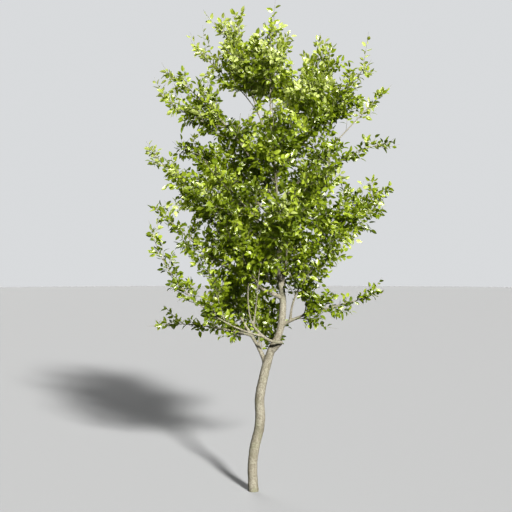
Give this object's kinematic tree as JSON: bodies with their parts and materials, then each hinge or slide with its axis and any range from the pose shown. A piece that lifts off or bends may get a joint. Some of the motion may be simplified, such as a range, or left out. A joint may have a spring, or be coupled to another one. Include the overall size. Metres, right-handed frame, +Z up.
{
  "type": "cherry tree",
  "caption": "Young cherry tree in full leaf: a slender winding trunk that forks into rising boughs, with an open crown of fresh green leaf sprays.",
  "frame": {"origin": "centre of the trunk's flat cut at ground level", "axes": "+Z up along the tree's height, +X to the right and +Y to the back as the tree is seen in the picture"},
  "size_m": [2.6421, 2.0281, 5.016],
  "materials": {
    "bark": "smooth pale grey-brown bark, matt",
    "leaves": "thin green leaves, satin"
  },
  "bodies": {
    "root": {"bough_back_left": "bark", "bough_back_low": "bark", "bough_back_right": "bark", "bough_back_upper": "bark", "bough_front_knee": "bark", "bough_front_left": "bark", "bough_front_left_upright": "bark", "bough_front_low": "bark", "bough_front_right": "bark", "bough_front_upper": "bark", "bough_front_upright": "bark", "bough_left_inner": "bark", "bough_left_long": "bark", "bough_left_mid": "bark", "bough_left_sweep": "bark", "bough_left_top_sweep": "bark", "bough_left_top_upright": "bark", "bough_left_upper_back": "bark", "bough_low_back": "bark", "bough_low_inner": "bark", "bough_low_left_back": "bark", "bough_right_inner": "bark", "bough_right_low": "bark", "bough_right_mid": "bark", "bough_right_mid_upper": "bark", "bough_right_top": "bark", "bough_right_upper": "bark", "bough_top_leader": "bark", "bough_top_peak": "bark", "bough_top_right": "bark", "foliage_back_left": "leaves", "foliage_back_low": "leaves", "foliage_back_right": "leaves", "foliage_back_upper": "leaves", "foliage_front_left": "leaves", "foliage_front_left_upright": "leaves", "foliage_front_low": "leaves", "foliage_front_right": "leaves", "foliage_front_upper": "leaves", "foliage_front_upright": "leaves", "foliage_left_inner": "leaves", "foliage_left_long": "leaves", "foliage_left_mid": "leaves", "foliage_left_sweep": "leaves", "foliage_left_top_sweep": "leaves", "foliage_left_top_upright": "leaves", "foliage_left_upper_back": "leaves", "foliage_low_back": "leaves", "foliage_low_inner": "leaves", "foliage_low_left_back": "leaves", "foliage_right_inner": "leaves", "foliage_right_low": "leaves", "foliage_right_mid": "leaves", "foliage_right_mid_upper": "leaves", "foliage_right_top": "leaves", "foliage_right_upper": "leaves", "foliage_top_leader": "leaves", "foliage_top_peak": "leaves", "foliage_top_right": "leaves", "trunk": "bark"}
  },
  "joints": []
}
